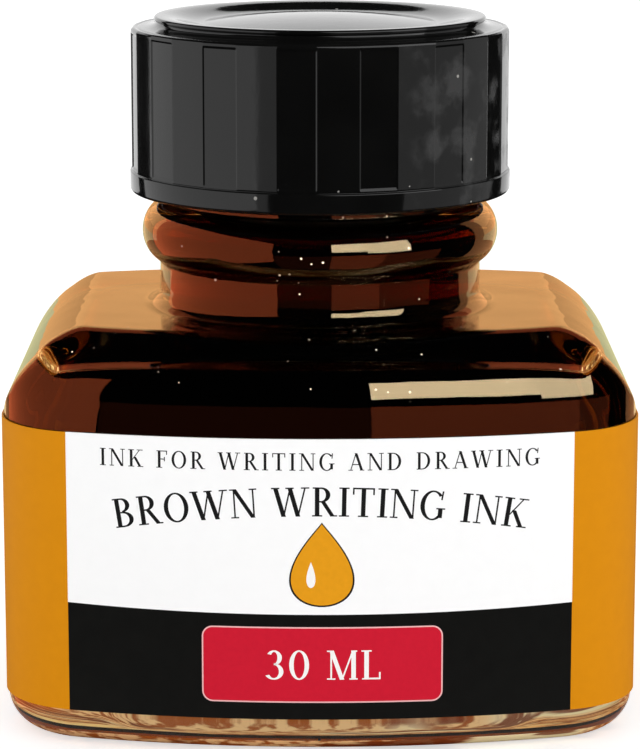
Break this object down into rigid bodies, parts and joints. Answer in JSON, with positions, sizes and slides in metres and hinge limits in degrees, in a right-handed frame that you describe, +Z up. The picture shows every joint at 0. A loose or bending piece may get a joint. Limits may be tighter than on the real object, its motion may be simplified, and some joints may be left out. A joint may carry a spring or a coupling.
{
  "type": "ink bottle",
  "caption": "Glass writing-ink bottle with a pen rest in its shoulder, ink inside, a wrap label and a faceted screw cap with a liner.",
  "frame": {"origin": "on the resting plane, under the axis of the neck", "axes": "+Z up along the neck axis, -Y towards the front with the label's printed side and the pen rest, +X to the viewer's right"},
  "size_m": [0.0542, 0.0432, 0.0597],
  "materials": {
    "glass": "clear, smooth, faint green",
    "ink": "amber-brown liquid",
    "label_paper": "coated paper, printed",
    "cap_plastic": "glossy black moulding",
    "liner_board": "matt pulp board",
    "liner_film": "white film"
  },
  "bodies": {
    "bottle": {"glass_bottle": "glass", "ink": "ink", "wrap_label": "label_paper"},
    "liner": {"liner_backing": "liner_board", "liner_facing": "liner_film"},
    "cap": {"cap_shell": "cap_plastic"}
  },
  "joints": [
    {"name": "cap_rise", "type": "slide", "parent": "bottle", "child": "liner", "axis": [0, 0, 1], "range_m": [0, 0.0127]},
    {"name": "cap_turn", "type": "hinge", "parent": "liner", "child": "cap", "pos_m": [0, 0, 0.0523], "axis": [0, 0, 1], "range_deg": [0, 1080]}
  ],
  "couplings": [
    {"joint": "cap_rise", "follows": "cap_turn", "m_per_rad": 0.0006737}
  ]
}
